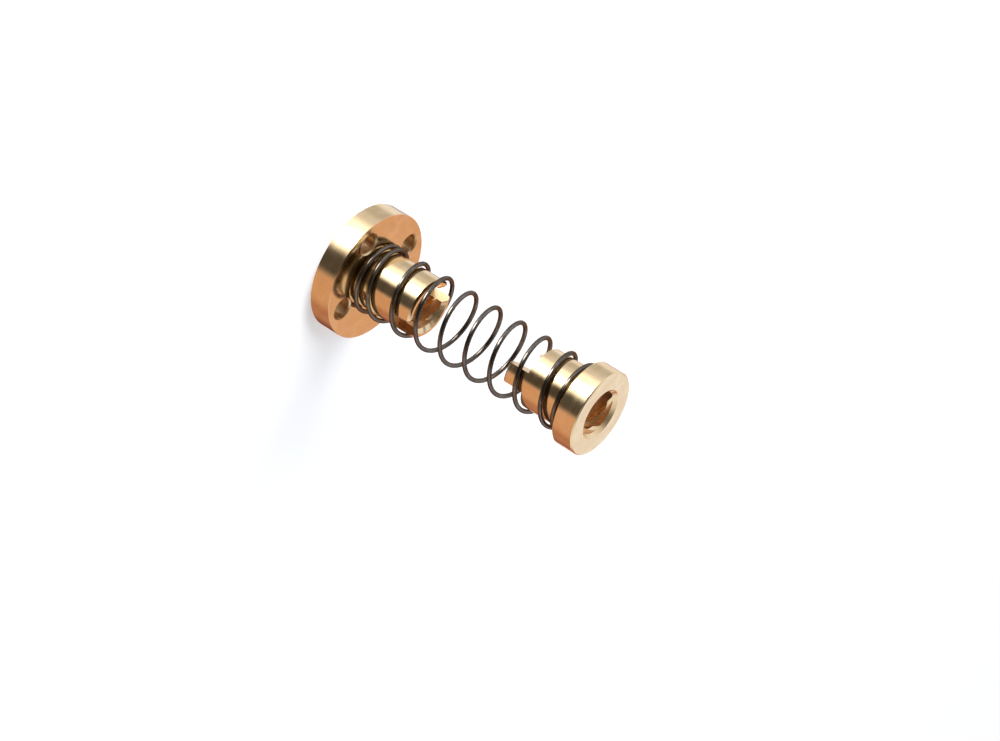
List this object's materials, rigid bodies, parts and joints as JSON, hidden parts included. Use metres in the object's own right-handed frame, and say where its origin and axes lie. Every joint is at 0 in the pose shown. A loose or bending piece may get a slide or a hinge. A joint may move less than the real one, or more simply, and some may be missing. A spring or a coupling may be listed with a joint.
{
  "type": "lead screw nut",
  "caption": "Spring-loaded anti-backlash lead screw nut: a slotted flanged nut and a pronged preload nut, pushed apart by a coil spring.",
  "frame": {"origin": "centre of the bore on the flange's outer face, which the part stands on", "axes": "+Z along the bore from the flanged nut to the preload nut; +X through the first bolt hole and the slots"},
  "size_m": [0.022, 0.022, 0.0493],
  "materials": {
    "brass": "bright turned brass with fine lathe lines",
    "spring_steel": "dark oiled spring steel wire with a thin bright streak"
  },
  "bodies": {
    "flanged_nut": {"flanged_nut": "brass"},
    "spring_end": {"spring": "spring_steel"},
    "preload_nut": {"preload_nut": "brass"}
  },
  "joints": [
    {"name": "spring_press", "type": "slide", "parent": "flanged_nut", "child": "spring_end", "axis": [0, 0, 1], "range_m": [-0.0188, 0], "stiffness_N_per_m": 240, "deforming": ["spring"]},
    {"name": "preload_turn", "type": "hinge", "parent": "spring_end", "child": "preload_nut", "pos_m": [0, 0, 0.0455], "axis": [0, 0, 1], "continuous": true}
  ]
}
